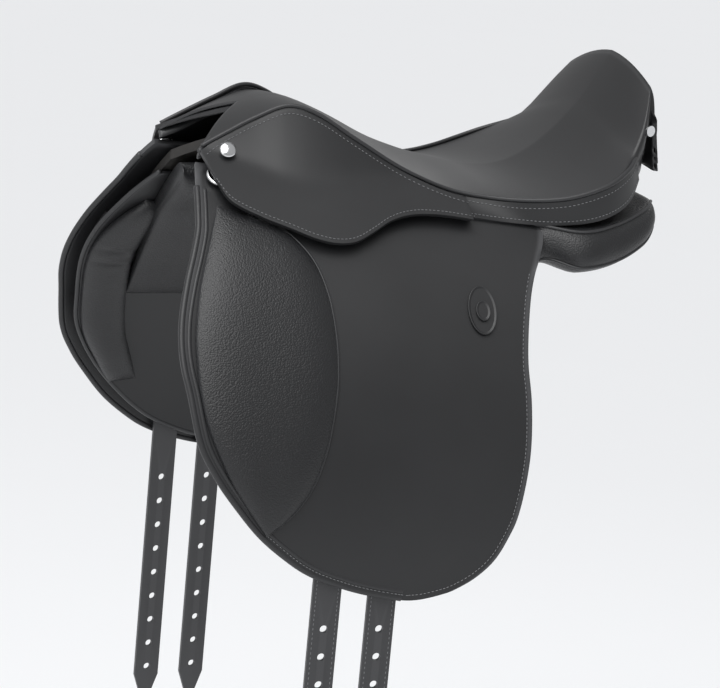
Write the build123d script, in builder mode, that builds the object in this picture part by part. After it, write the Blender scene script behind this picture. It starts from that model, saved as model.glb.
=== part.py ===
from build123d import *
from math import asin, cos, degrees, radians, sin, sqrt
import os

os.makedirs("parts", exist_ok=True)

# Model axes while building: +X towards the cantle, near (rider's left) side = -Y, +Z up, millimetres.
# Every piece is shifted on export so that the origin lies on the ridge line of the saddle's rest.
origin_x = 200.0
origin_z = 100.0

# Overall sizes
saddle_length = 430.0          # front edge of the skirts to the back of the cantle
flap_drop = 167.0              # height of z = 0 above the lowest point of a flap
strap_drop = 430.0             # height of z = 0 above the tips of the girth straps

# Section shared by every side layer: an arc that runs into a vertical tail
arc_y = 116.0
arc_z = -138.0
side_yaw = 4.87                # degrees that each side opens towards the rear
yaw_x = 150.0

# Layer thicknesses and gaps, from the horse outwards
sweat_inner_r = 346.0
sweat_leather = 3.0
tree_gap = 1.5                 # sweat flap to tree rail
rail_thickness = 8.0
web_thickness = 1.5
strap_leather = 4.0
flap_gap = 4.2                 # girth web to flap
flap_leather = 4.5
pad_thickness = 8.0
skirt_leather = 4.0
cover_leather = 3.0
play = 0.3                     # between layers and between bodies

# Stirrup bar, catch, rivets
bar_thickness = 6.0
bar_width = 10.0
bar_length = 70.0
bar_x = 48.0
bar_z = 150.0
leather_slot = 7.0             # room for the stirrup leather behind the bar
plate_thickness = 2.0
plate_height = 20.0
catch_length = 21.0
catch_pin_r = 1.5
pin_fit = 0.06
rivet_r = 2.0

# Girth straps and buckle guard
strap_width = 25.4
strap_top_z = 119.0
front_strap_x = 113.5
rear_strap_x = 163.5
hole_r = 3.5
hole_pitch = 25.4
hole_count = 9
first_hole_z = -196.0
guard_wall = 1.4
guard_play = 2.0
guard_top_z = 40.0
guard_low_z = -20.0

# Dee ring
dee_x = 30.0
dee_z = 170.0
dee_wire_r = 1.7
dee_width = 22.0
dee_reach = 14.0
tab_length = 22.0
tab_width = 15.0
tab_thickness = 2.0

# Fold lines: heights at their front and rear ends
flap_fold_ends = [(0.0, 140.0), (280.0, 104.0)]
skirt_fold_ends = [(14.0, 176.0), (190.0, 152.0)]
fold_gap = 8.0

# Channel between the panels
channel_half = 38.0
webs_half = 38.0

# Radii of the layers, worked out from the stack
sweat_outer_r = sweat_inner_r + sweat_leather
rail_inner_r = sweat_outer_r + tree_gap
rail_outer_r = rail_inner_r + rail_thickness
web_inner_r = rail_outer_r + play
web_outer_r = web_inner_r + web_thickness
strap_outer_r = web_inner_r - play
strap_inner_r = strap_outer_r - strap_leather
flap_inner_r = web_outer_r + flap_gap
flap_outer_r = flap_inner_r + flap_leather
plate_inner_r = web_outer_r + play
plate_outer_r = plate_inner_r + plate_thickness
bar_inner_r = plate_outer_r + leather_slot
bar_outer_r = bar_inner_r + bar_thickness
skirt_inner_r = max(bar_outer_r, flap_outer_r + 7) + 2.4
skirt_outer_r = skirt_inner_r + skirt_leather
lap_r = bar_inner_r + bar_thickness / 2
pad_outer_r = flap_outer_r + play + pad_thickness
dee_r = flap_outer_r + play + 1.6 * dee_wire_r + 1
loop_r = dee_wire_r + 1.6
dee_rivet_x = dee_x + tab_length - 6

row_frame = Pos(-origin_x, 0, -origin_z)
side_frame = row_frame * Pos(yaw_x, 0, 0) * Rot(0, 0, -side_yaw) * Pos(-yaw_x, 0, 0)


def near_y(r, z):
    """Y of the near-side section of radius r at height z, before the yaw."""
    rise = max(z - arc_z, 0)
    return arc_y - sqrt(r * r - rise * rise)


def yawed_y(x, r, z):
    """Half width of the layer of radius r at station x and height z."""
    return -near_y(r, z) + (x - yaw_x) * sin(radians(side_yaw))


def normal_plane(x, z, r):
    """Plane on a side layer: x along the saddle, y up the layer, z outwards."""
    rise = asin((z - arc_z) / r)
    return Plane(
        origin=(x, arc_y - r * cos(rise), arc_z + r * sin(rise)),
        x_dir=(1, 0, 0),
        z_dir=(0, -cos(rise), sin(rise)),
    )


def fold_z(fold, x):
    """Height of a fold line at x."""
    (x0, z0), (x1, z1) = fold
    return z0 + (z1 - z0) * (x - x0) / (x1 - x0)


def save(piece, name):
    piece.label = name
    export_step(piece, "parts/" + name + ".step")


def save_pair(piece, name, frame):
    near = piece.moved(frame)
    save(near, "near_" + name)
    save(mirror(near, about=Plane.XZ), "off_" + name)


def section_face(r_in, r_out, z_low, z_high):
    """Cross-section of one side layer, drawn as (y, z)."""
    foot = max(z_low, arc_z)
    middle = (foot + z_high) / 2
    with BuildSketch() as face:
        with BuildLine():
            ThreePointArc(*[(near_y(r_out, z), z) for z in (foot, middle, z_high)])
            Line((near_y(r_out, z_high), z_high), (near_y(r_in, z_high), z_high))
            ThreePointArc(*[(near_y(r_in, z), z) for z in (z_high, middle, foot)])
            if z_low < foot:
                Polyline(
                    (arc_y - r_in, foot), (arc_y - r_in, z_low), (arc_y - r_out, z_low), (arc_y - r_out, foot)
                )
            else:
                Line((near_y(r_in, foot), foot), (near_y(r_out, foot), foot))
        make_face()
    return face.sketch


def layer(r_in, r_out, outline, z_low, z_high, x_front=-60.0, x_rear=460.0):
    """Part of a side layer inside a side-view outline."""
    with BuildPart() as sheet:
        with BuildSketch(Plane.YZ.offset(x_front)):
            add(section_face(r_in, r_out, z_low, z_high))
        extrude(amount=x_rear - x_front)
        with BuildSketch(Plane.XZ.offset(-arc_y)):
            add(outline)
        extrude(amount=3 * arc_y + r_out, mode=Mode.INTERSECT)
    return sheet.part


def spline_outline(front, rear):
    """Face between a front edge and a rear edge, each a smooth curve listed from the top down."""
    with BuildSketch() as face:
        with BuildLine():
            Spline(*front)
            Line(front[-1], rear[-1])
            Spline(*rear)
            Line(rear[0], front[0])
        make_face()
    return face.sketch


def polygon_outline(points):
    with BuildSketch() as face:
        with BuildLine():
            Polyline(*points, close=True)
        make_face()
    return face.sketch


def near_half(reach=260.0):
    """Everything on the near side of the centre plane, while building."""
    return Pos(saddle_length / 2, -reach / 2, 0) * Box(2 * saddle_length, reach, 3 * reach)


def normal_pin(x, z, r, low, high, radius):
    """Round bar through the side layers, from low to high measured from radius r."""
    with BuildPart() as pin:
        with BuildSketch(normal_plane(x, z, r).offset(low)):
            Circle(radius)
        extrude(amount=high - low)
    return pin.part


# ---------------------------------------------------------------- side outlines

def turned(points):
    """Outline points (x, z) in the saddle's own axes, moved along their layer to where the yaw leaves them."""
    return [(x - near_y(flap_outer_r, z) * sin(radians(side_yaw)), z) for x, z in points]


flap_fold = turned(flap_fold_ends)
skirt_fold = turned(skirt_fold_ends)
flap_front = turned([
    (0, 138), (-12, 124), (-34, 78), (-40, 46), (-36, 5), (-28, -flap_drop + 132), (3, -flap_drop + 82),
    (55, -flap_drop + 33), (101, -flap_drop + 12), (150, -flap_drop + 1),
])
flap_rear = turned([
    (285, 101), (273, 62), (270, 10), (266, -flap_drop + 127), (257, -flap_drop + 77), (243, -flap_drop + 44),
    (220, -flap_drop + 19), (192, -flap_drop + 5), (170, -flap_drop),
])
pad_front = turned([
    (5, 128), (-14, 100), (-27, 70), (-29, 40), (-27, 6), (-20, -flap_drop + 145), (-3, -flap_drop + 105),
    (28, -flap_drop + 61),
])
pad_rear = turned([
    (72, 119), (93, 88), (96, 40), (92, 8), (83, -flap_drop + 132), (65, -flap_drop + 90), (32, -flap_drop + 58),
])
sweat_front = turned([
    (12, 146), (-4, 118), (-22, 78), (-28, 46), (-24, 5), (-16, -flap_drop + 134), (14, -flap_drop + 88),
    (62, -flap_drop + 44), (110, -flap_drop + 22), (150, -flap_drop + 14),
])
sweat_rear = turned([
    (248, 120), (242, 62), (243, 10), (240, -flap_drop + 120), (230, -flap_drop + 70), (206, -flap_drop + 34),
    (170, -flap_drop + 14),
])


# ---------------------------------------------------------------- tree

def head_notch(apex_x):
    """Plan of the cut-back head: a wedge open to the front, apex on the centre line."""
    with BuildPart() as wedge:
        with BuildSketch():
            with BuildLine():
                Polyline((apex_x, 0), (apex_x - 90, -110), (apex_x - 90, 110), close=True)
            make_face()
        extrude(amount=320)
    return wedge.part


head_apex = 58.0
cantle_lean = 12.7
rail_rear_x = saddle_length - 26
rail_outline = polygon_outline([
    (24, 124), (24, 202), (96, 202), (110, 176), (170, 174), (212, 161), (rail_rear_x, 161),
    (rail_rear_x, 148), (160, 148), (145, 124),
])
cantle_plane = Plane(
    origin=(rail_rear_x - 8, 0, 150),
    x_dir=(0, 1, 0),
    z_dir=(cos(radians(cantle_lean)), 0, -sin(radians(cantle_lean))),
)
rivet_spots = [(bar_x + 6, bar_z), (bar_x + 90, bar_z)]
screw_spots = [(81, 166), (81, 186)]


def tree_side():
    """One rail with its half of the head, and the holes for rivets and screws."""
    with BuildPart() as rail:
        add(layer(rail_inner_r, rail_outer_r, rail_outline, 100, 204))
        for x, z in rivet_spots:
            add(normal_pin(x, z, bar_outer_r, -30, 0, rivet_r + pin_fit), mode=Mode.SUBTRACT)
        add(normal_pin(dee_rivet_x, dee_z, dee_r, -26, 0, rivet_r + pin_fit), mode=Mode.SUBTRACT)
        for x, z in screw_spots:
            add(normal_pin(x, z, rail_inner_r, -5, 6, rivet_r + pin_fit), mode=Mode.SUBTRACT)
    return rail.part


near_rail = tree_side().moved(side_frame) & near_half().moved(row_frame)
with BuildPart() as cantle_board:
    with BuildSketch(cantle_plane):
        with BuildLine():
            Spline((-92, 34), (-88, 70), (-60, 98), (0, 110), (60, 98), (88, 70), (92, 34))
            Polyline((92, 34), (92, 4), (70, 4))
            Spline((70, 4), (44, 36), (0, 46), (-44, 36), (-70, 4))
            Polyline((-70, 4), (-92, 4), (-92, 34))
        make_face()
    extrude(amount=8)

with BuildPart() as tree_frame:
    add(near_rail)
    add(mirror(near_rail, about=Plane.XZ))
    add(cantle_board.part.moved(row_frame))
    add(head_notch(head_apex + 8).moved(row_frame), mode=Mode.SUBTRACT)
save(tree_frame.part, "tree_frame")

gullet_thickness = tree_gap + sweat_leather - 2 * play
gullet_outline = polygon_outline([(70, 152), (70, 202), (92, 202), (92, 152)])


def gullet_side():
    with BuildPart() as plate:
        add(layer(rail_inner_r - play - gullet_thickness, rail_inner_r - play, gullet_outline, 100, 199))
        for x, z in screw_spots:
            add(normal_pin(x, z, rail_inner_r, -12, 0, rivet_r + pin_fit), mode=Mode.SUBTRACT)
    return plate.part.moved(side_frame) & near_half().moved(row_frame)


near_gullet = gullet_side()
with BuildPart() as gullet_plate:
    add(near_gullet)
    add(mirror(near_gullet, about=Plane.XZ))
save(gullet_plate.part, "gullet_plate")


def screw_set():
    with BuildPart() as screws:
        for x, z in screw_spots:
            head_low = -gullet_thickness - 2.6
            add(normal_pin(x, z, rail_inner_r, head_low, -gullet_thickness - 2 * play, 2 * rivet_r))
            add(normal_pin(x, z, rail_inner_r, -gullet_thickness - 1, 5, rivet_r))
    return screws.part.moved(side_frame)


near_screws = screw_set()
with BuildPart() as gullet_screws:
    add(near_screws)
    add(mirror(near_screws, about=Plane.XZ))
save(gullet_screws.part, "gullet_screws")


# ---------------------------------------------------------------- seat

# Station along the saddle as a share of its length, half width, then heights of the seat's edge,
# of the seat half way in, of its centre line, and of the underside.
seat_stations = [
    (0.030, 56, 186, 200, 207, 178),
    (0.135, 58, 217, 223, 225, 203),
    (0.195, 62, 229, 231, 231, 211),
    (0.256, 70, 223, 228, 229, 205),
    (0.335, 82, 204, 213, 216, 189),
    (0.433, 94, 181, 192, 196, 168),
    (0.528, 104, 167, 180, 184, 158),
    (0.602, 116, 163, 175, 178, 155),
    (0.674, 132, 164, 171, 174, 156),
    (0.747, 146, 168, 173, 177, 159),
    (0.805, 151, 175, 181, 187, 165),
    (0.865, 148, 187, 198, 207, 176),
    (0.930, 124, 207, 229, 238, 188),
    (0.972, 108, 240, 262, 268, 192),
    (1.000, 76, 270, 285, 289, 200),
]


def seat_body(inset, bottom_drop):
    """Seat solid lofted through the stations, drawn in by inset on its top and sides."""
    with BuildPart() as body:
        for share, half, edge_z, mid_z, top_z, low_z in seat_stations:
            w = half - inset
            with BuildSketch(Plane.YZ.offset(share * saddle_length)):
                with BuildLine():
                    Spline(
                        (-w, edge_z - inset), (-w / 2, mid_z - inset), (0, top_z - inset),
                        (w / 2, mid_z - inset), (w, edge_z - inset),
                    )
                    Polyline((w, edge_z - inset), (w, low_z - bottom_drop), (-w, low_z - bottom_drop),
                             (-w, edge_z - inset))
                make_face()
        loft(ruled=True)
    return body.part


with BuildPart() as seat_cover:
    add(seat_body(0, 0))
    add(seat_body(cover_leather, 5), mode=Mode.SUBTRACT)
    add(head_notch(head_apex), mode=Mode.SUBTRACT)
save(seat_cover.part.moved(row_frame), "seat_cover")

web_line = [(70, 208), (100, 206), (150, 188), (230, 166), (300, 164), (360, 180), (saddle_length - 42, 205)]
web_top = [(x, z + 2.5) for x, z in web_line]
with BuildPart() as seat_webs:
    with BuildSketch(Plane.XZ.offset(-webs_half)):
        with BuildLine():
            Spline(*web_line)
            Line(web_line[-1], web_top[-1])
            Spline(*reversed(web_top))
            Line(web_top[0], web_line[0])
        make_face()
    extrude(amount=2 * webs_half)
save(seat_webs.part.moved(row_frame), "seat_webs")

foam_floor = [(x, z + 3.0) for x, z in web_line]
with BuildPart() as seat_foam:
    add(seat_body(cover_leather + play, 0))
    with BuildSketch(Plane.XZ.offset(-saddle_length)):
        with BuildLine():
            Spline(*foam_floor)
            Polyline(foam_floor[-1], (saddle_length - 30, 330), (60, 330), foam_floor[0])
        make_face()
    extrude(amount=2 * saddle_length, mode=Mode.INTERSECT)
    add(head_notch(head_apex + 12), mode=Mode.SUBTRACT)
    add(tree_frame.part.moved(row_frame.inverse()), mode=Mode.SUBTRACT)
save(seat_foam.part.moved(row_frame), "seat_foam")

with BuildPart() as cantle_back:
    with BuildSketch(Plane.YZ.offset(saddle_length + play)):
        with BuildLine():
            Spline((-100, 192), (-96, 238), (-60, 278), (0, 289), (60, 278), (96, 238), (100, 192))
            Line((100, 192), (-100, 192))
        make_face()
    extrude(amount=cover_leather)
save(cantle_back.part.moved(row_frame), "cantle_back")

with BuildPart() as head_binding:
    with BuildLine():
        Polyline((4, -63, 190), (head_apex - 6, -1, 217), (head_apex - 6, 1, 217), (4, 63, 190))
    with BuildSketch(Plane(origin=(4, -63, 190), z_dir=(head_apex - 10, 62, 27))):
        Circle(2.4)
    sweep(transition=Transition.ROUND)
save(head_binding.part.moved(row_frame), "head_binding")


# ---------------------------------------------------------------- seat welts, skirts, nails

welt_r = 2.4
welt_stations = [s for s in seat_stations if 0.1 < s[0] < 0.96]
with BuildPart() as seat_welt:
    with BuildLine():
        welt_line = Spline(*[
            (share * saddle_length, -half - welt_r - 3 * play, edge_z - 1)
            for share, half, edge_z, *_ in welt_stations
        ])
    with BuildSketch(Plane(origin=welt_line @ 0, z_dir=welt_line % 0)):
        Circle(welt_r)
    sweep()
save_pair(seat_welt.part, "seat_welt", row_frame)

# Station share, half width and height of the top edge, height of the lower edge, extra half width there.
band_stations = [
    (0.022, 57, 187, 0, 0),
    (0.070, 60, 199, 0, 0),
    (0.135, 62, 212, 0, 0),
    (0.195, 66, 224, 0, 0),
    (0.256, 74, 218, 0, 0),
    (0.335, 86, 199, 0, 0),
    (0.433, 98, 176, 0, 0),
    (0.528, 108, 162, 149, 0),
    (0.620, 124, 158, 146, 0),
    (0.720, 146, 161, 144, 2),
    (0.805, 155, 170, 147, 8),
    (0.870, 150, 182, 152, 10),
    (0.930, 128, 202, 164, 2),
    (0.962, 117, 216, 176, -10),
]


def band_section(share, half, top_z, low_z, extra):
    """Corners of the skirt band at one station: top, lower edge, and back up the inside."""
    x = share * saddle_length
    foot_z = low_z or fold_z(skirt_fold_ends, max(x, skirt_fold_ends[0][0])) + fold_gap
    foot = yawed_y(x, skirt_outer_r, foot_z) + extra
    return [
        (-half - skirt_leather - 1, top_z), (-foot, foot_z),
        (-foot + skirt_leather, foot_z - 1), (-half - 1, top_z - 1),
    ]


with BuildPart() as skirt_band:
    for station in band_stations:
        with BuildSketch(Plane.YZ.offset(station[0] * saddle_length)):
            with BuildLine():
                Polyline(*band_section(*station), close=True)
            make_face()
    loft(ruled=True)
save_pair(skirt_band.part, "skirt_band", row_frame)

skirt_front_edge = turned([
    (14, 176), (15, 164), (28, 154), (50, 146), (78, 138), (106, 133.5), (126, 134), (146, 139), (166, 147),
    (190, 152),
])
with BuildSketch() as skirt_outline:
    with BuildLine():
        Spline(*skirt_front_edge)
        Line(skirt_front_edge[-1], skirt_front_edge[0])
    make_face()
skirt = layer(skirt_inner_r, skirt_outer_r, skirt_outline.sketch, 100, 190)
save_pair(skirt, "skirt", side_frame)

with BuildPart() as nail:
    with BuildSketch(Plane(origin=(27, -75.2, 191.8), x_dir=(1, 0, 0), z_dir=(0, -0.83, 0.56))):
        Circle(7)
    extrude(amount=2.2)
    fillet(nail.edges().group_by(Axis((27, -75.2, 191.8), (0, -0.83, 0.56)))[-1], 1.5)
save_pair(nail.part, "nail", row_frame)

with BuildPart() as cantle_nails:
    for side in (-1, 1):
        nail_plane = Plane(origin=(saddle_length - 10, side * 110, 228), x_dir=(0, 0, 1), z_dir=(0.3, side, 0))
        with BuildSketch(nail_plane):
            Circle(5)
        extrude(amount=2)
save(cantle_nails.part.moved(row_frame), "cantle_nails")


# ---------------------------------------------------------------- flap and what is on it

flap = layer(flap_inner_r, flap_outer_r, spline_outline(flap_front, flap_rear), -flap_drop, 145)
save_pair(flap, "flap", side_frame)

head_rear_x = flap_fold[1][0] + 20
window_rear_x = bar_x + 96
head_top = turned([(4, 176), (60, 176), (140, 172), (180, 163), (227, 154), (262, 151), (312, 148)])
head_outline = polygon_outline(
    head_top + [
        (head_rear_x, fold_z(flap_fold, head_rear_x) + fold_gap),
        (window_rear_x, fold_z(flap_fold, window_rear_x) + fold_gap), (window_rear_x, bar_z + 12),
        (bar_x - 8, bar_z + 12), (bar_x - 8, fold_z(flap_fold, bar_x - 8) + fold_gap),
        (flap_fold[0][0], flap_fold[0][1] + fold_gap),
    ]
)
with BuildPart() as flap_head:
    add(layer(flap_inner_r, flap_outer_r, head_outline, 100, 185))
    add(normal_pin(dee_rivet_x, dee_z, dee_r, -26, 2, rivet_r + pin_fit), mode=Mode.SUBTRACT)
save_pair(flap_head.part, "flap_head", side_frame)

knee_pad = layer(flap_outer_r + play, pad_outer_r, spline_outline(pad_front, pad_rear), -flap_drop, 135)
save_pair(knee_pad, "knee_pad", side_frame)

border_width = 7.0
border_points = [p for p in flap_front if p[1] < 120]
border_outline = spline_outline(
    [(x - 0.5, z) for x, z in border_points], [(x + border_width - 1, z + 3) for x, z in border_points]
)
flap_border = layer(flap_outer_r + play, flap_outer_r + play + 2.4, border_outline, -flap_drop, 120)
with BuildPart() as border:
    add(flap_border)
    pad_room = spline_outline([(x - 4, z - 2) for x, z in pad_front], [(x + 2, z) for x, z in pad_rear])
    add(layer(flap_outer_r, pad_outer_r + 1, pad_room, -flap_drop, 135), mode=Mode.SUBTRACT)
save_pair(border.part, "flap_border", side_frame)

keeper_x, keeper_z = turned([(233, 76)])[0]
with BuildPart() as leather_keeper:
    with BuildSketch(normal_plane(keeper_x, keeper_z, flap_outer_r + play)):
        Ellipse(14, 21)
    extrude(amount=3)
    fillet(leather_keeper.edges().group_by(SortBy.LENGTH)[-1], 0.8)
save_pair(leather_keeper.part, "leather_keeper", side_frame)


# ---------------------------------------------------------------- sweat flap, blocks, pocket

sweat_outline = spline_outline(sweat_front, sweat_rear)
sweat_flap = layer(sweat_inner_r, sweat_outer_r, sweat_outline, -flap_drop + 14, 148)
save_pair(sweat_flap, "sweat_flap", side_frame)

block_outer_r = flap_inner_r - play
knee_block_outline = spline_outline(
    turned([(-12, 92), (-22, 50), (-18, 5), (-4, -45)]), turned([(22, 96), (24, 50), (20, 5), (8, -48)])
)
save_pair(layer(sweat_outer_r + play, block_outer_r, knee_block_outline, -60, 100), "knee_block", side_frame)

thigh_block_outline = spline_outline(
    turned([(226, 40), (222, 0), (212, -40), (196, -72)]), turned([(250, 40), (248, 0), (238, -44), (214, -80)])
)
save_pair(layer(sweat_outer_r + play, block_outer_r, thigh_block_outline, -90, 60), "thigh_block", side_frame)

pocket_outline = polygon_outline([(42, 88), (42, 121), (80, 121), (80, 96), (72, 82), (52, 78)])
save_pair(layer(sweat_outer_r + play, sweat_outer_r + 4, pocket_outline, 60, 130), "point_pocket", side_frame)


# ---------------------------------------------------------------- panels

panel_outer_r = sweat_inner_r - play


def ring(x, depth, z):
    """Point of a panel section: depth in from the sweat flap, at height z."""
    return (-yawed_y(x, panel_outer_r - depth, z), z)


def front_section(share, fill):
    """Panel section under the flap; fill scales the stuffing."""
    x = share * saddle_length
    outside = [ring(x, 0, z) for z in (156, 118, 78, 38, 8)]
    inside = [ring(x, depth * fill, z) for depth, z in ((6, 6), (19, 32), (29, 70), (33, 104))]
    return [(-channel_half, 158)] + outside + inside + [(-channel_half, 158 - 30 * fill)]


def rear_section(half, low_z, top_z):
    """Panel section behind the flap: half is the greatest half width, low_z the lowest height."""
    height = top_z - low_z
    outside = [(half - 24, 1), (half - 10, 0.84), (half - 2, 0.56), (half, 0.3), (half - 8, 0.08)]
    floor_step = (half - 38 - channel_half) / 3
    inside = [(half - 26 - i * floor_step, (0, 0.07, 0.18, 0.32)[i]) for i in range(4)]
    corners = [(channel_half, 1)] + outside + inside + [(channel_half, 0.45)]
    return [(-y, low_z + rise * height) for y, rise in corners]


panel_sections = [
    (0.060, front_section(0.060, 0.55)),
    (0.140, front_section(0.140, 0.8)),
    (0.280, front_section(0.280, 0.95)),
    (0.450, front_section(0.450, 1.0)),
    (0.590, front_section(0.590, 1.0)),
    (0.700, rear_section(144, 100, 144)),
    (0.790, rear_section(165, 103, 143)),
    (0.880, rear_section(154, 110, 146)),
    (0.960, rear_section(138, 126, 150)),
    (1.000, rear_section(124, 140, 160)),
]
roll_front = turned([(16, 112), (-2, 94), (-17, 70), (-23, 44), (-20, 5), (-12, -35), (10, -72)])
roll_rear = turned([(46, 108), (32, 86), (22, 62), (19, 40), (22, 5), (30, -35), (44, -70)])
roll_depth = 15.0
roll_gap_front = [(x - 8, z + 2) for x, z in roll_front]
roll_gap_rear = [(x + 4, z + 2) for x, z in roll_rear]
panel_roll = layer(panel_outer_r - roll_depth, panel_outer_r, spline_outline(roll_front, roll_rear), -90, 115)
save_pair(panel_roll, "panel_roll", side_frame)
roll_room_outline = spline_outline(roll_gap_front, roll_gap_rear)
roll_room = layer(panel_outer_r - roll_depth - 60, panel_outer_r + 10, roll_room_outline, -100, 118)

with BuildPart() as panel:
    for share, corners in panel_sections:
        with BuildSketch(Plane.YZ.offset(share * saddle_length)):
            with BuildLine():
                Polyline(*corners, close=True)
            make_face()
    loft(ruled=True)
    add(roll_room.moved(row_frame.inverse() * side_frame), mode=Mode.SUBTRACT)
save_pair(panel.part, "panel", row_frame)

lining_line = [(0.26, 160), (0.45, 157), (0.68, 150), (0.93, 158)]
lining_low = [(share * saddle_length, z) for share, z in lining_line]
lining_high = [(x, z + 2) for x, z in lining_low]
with BuildPart() as channel_lining:
    with BuildSketch(Plane.XZ.offset(-channel_half + 2)):
        with BuildLine():
            Polyline(*lining_low, *reversed(lining_high), close=True)
        make_face()
    extrude(amount=2 * channel_half - 4)
save(channel_lining.part.moved(row_frame), "channel_lining")


# ---------------------------------------------------------------- stirrup bars

bar_plane = normal_plane(bar_x, bar_z, bar_outer_r)
catch_pin_x = bar_length - bar_width / 2
plate_depth = bar_outer_r - plate_outer_r
pin_spot = Pos(catch_pin_x, 0, 0)


def bar_block(x0, x1, low, high, width):
    """Box on the bar's plane: x0 to x1 along the bar, low to high outwards."""
    with BuildPart() as block:
        with BuildSketch(bar_plane.offset(low)):
            with Locations(((x0 + x1) / 2, 0)):
                Rectangle(x1 - x0, width)
        extrude(amount=high - low)
    return block.part


def bar_disc(x, low, high, radius):
    with BuildPart() as disc:
        with BuildSketch(bar_plane.offset(low)):
            with Locations((x, 0)):
                Circle(radius)
        extrude(amount=high - low)
    return disc.part


with BuildPart() as stirrup_bar:
    add(bar_block(-4, 95, -plate_depth - plate_thickness, -plate_depth, plate_height))
    add(bar_block(0, 12, -plate_depth, 0, bar_width))
    add(bar_block(0, catch_pin_x, -bar_thickness, 0, bar_width))
    add(bar_disc(catch_pin_x, -bar_thickness, 0, bar_width / 2))
    add(
        bar_block(catch_pin_x - bar_width / 2 - play, bar_length + 2, lap_r - bar_outer_r, 1, bar_width + 2),
        mode=Mode.SUBTRACT,
    )
    add(bar_disc(catch_pin_x, -bar_thickness - 1, 1, catch_pin_r), mode=Mode.SUBTRACT)
    for x, _ in rivet_spots:
        add(bar_disc(x - bar_x, -plate_depth - plate_thickness - 1, 1, rivet_r + pin_fit), mode=Mode.SUBTRACT)
save_pair(stirrup_bar.part, "stirrup_bar", side_frame)

with BuildPart() as bar_catch:
    add(bar_block(catch_pin_x, catch_pin_x + catch_length - 5, -bar_thickness, 0, bar_width))
    add(bar_disc(catch_pin_x + catch_length - 5, -bar_thickness, 0, bar_width / 2))
    add(bar_disc(catch_pin_x, lap_r - bar_outer_r + play, 0, bar_width / 2))
    add(
        bar_disc(catch_pin_x, -bar_thickness - 1, lap_r - bar_outer_r + play, bar_width / 2 + 0.4),
        mode=Mode.SUBTRACT,
    )
    add(bar_disc(catch_pin_x, -bar_thickness - 1, 1, catch_pin_r + pin_fit), mode=Mode.SUBTRACT)
save_pair(bar_catch.part, "bar_catch", side_frame)

save_pair(bar_disc(catch_pin_x, -bar_thickness, 0, catch_pin_r), "catch_pin", side_frame)


# ---------------------------------------------------------------- dee rings

dee_plane = normal_plane(dee_x, dee_z, dee_r)

bow_r = dee_width / 2
corner_x = bow_r - dee_reach
bar_end = bow_r + corner_x
diagonal = sqrt(0.5)
with BuildPart() as dee_ring:
    with BuildLine():
        Line((0, -bar_end), (0, bar_end))
        ThreePointArc((0, bar_end), (corner_x * (1 - diagonal), bar_end - corner_x * diagonal), (corner_x, bow_r))
        ThreePointArc((corner_x, bow_r), (-dee_reach, 0), (corner_x, -bow_r))
        ThreePointArc((corner_x, -bow_r), (corner_x * (1 - diagonal), corner_x * diagonal - bar_end), (0, -bar_end))
    with BuildSketch(Plane.XZ):
        Circle(dee_wire_r)
    sweep()
save_pair(dee_ring.part, "dee_ring", side_frame * dee_plane.location)

with BuildPart() as dee_tab:
    with BuildSketch(dee_plane.offset(-loop_r)):
        with Locations(((tab_length - 2) / 2, 0)):
            Rectangle(tab_length - 2, tab_width)
    extrude(amount=tab_thickness)
    loop_end = dee_plane.from_local_coords((0, -tab_width / 2, 0))
    with BuildSketch(Plane(origin=loop_end, z_dir=dee_plane.y_dir)):
        Circle(loop_r)
    extrude(amount=tab_width)
    with BuildSketch(Plane(origin=dee_plane.from_local_coords((0, -dee_width, 0)), z_dir=dee_plane.y_dir)):
        Circle(dee_wire_r + pin_fit)
    extrude(amount=2 * dee_width, mode=Mode.SUBTRACT)
    with BuildSketch(dee_plane.offset(-loop_r - 1)):
        with Locations((tab_length - 6, 0)):
            Circle(rivet_r + pin_fit)
    extrude(amount=tab_thickness + 2, mode=Mode.SUBTRACT)
save_pair(dee_tab.part, "dee_tab", side_frame)


# ---------------------------------------------------------------- rivets of the bars and the dee tabs

tab_top = tab_thickness - loop_r


def rivet_set():
    with BuildPart() as rivets:
        add(bar_disc(rivet_spots[0][0] - bar_x, rail_inner_r - bar_outer_r + 1, -0.5, rivet_r))
        add(bar_disc(rivet_spots[1][0] - bar_x, rail_inner_r - bar_outer_r + 1, -plate_depth + 1.4, rivet_r))
        add(bar_disc(rivet_spots[1][0] - bar_x, -plate_depth, -plate_depth + 1.4, 2 * rivet_r))
        add(normal_pin(dee_rivet_x, dee_z, dee_r, -18, tab_top + 0.4, rivet_r))
        add(normal_pin(dee_rivet_x, dee_z, dee_r, tab_top + play, tab_top + 1.4, 2 * rivet_r))
    return rivets.part.moved(side_frame)


near_rivets = rivet_set()
with BuildPart() as frame_rivets:
    add(near_rivets)
    add(mirror(near_rivets, about=Plane.XZ))
save(frame_rivets.part, "frame_rivets")


# ---------------------------------------------------------------- girth straps

def strap(centre_x, name):
    low = -strap_drop
    half = strap_width / 2
    outline = polygon_outline(
        [
            (centre_x - half, strap_top_z), (centre_x + half, strap_top_z), (centre_x + half, low + 22),
            (centre_x + 5, low), (centre_x - 5, low), (centre_x - half, low + 22),
        ]
    )
    with BuildPart() as piece:
        add(layer(strap_inner_r, strap_outer_r, outline, low, 130))
        for row in range(hole_count):
            with BuildSketch(Plane.XZ.offset(strap_inner_r - arc_y - 2)):
                with Locations((centre_x, first_hole_z - row * hole_pitch)):
                    Circle(hole_r)
            extrude(amount=strap_leather + 4, mode=Mode.SUBTRACT)
    save_pair(piece.part, name, side_frame)


strap(front_strap_x, "front_strap")
strap(rear_strap_x, "rear_strap")

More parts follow.
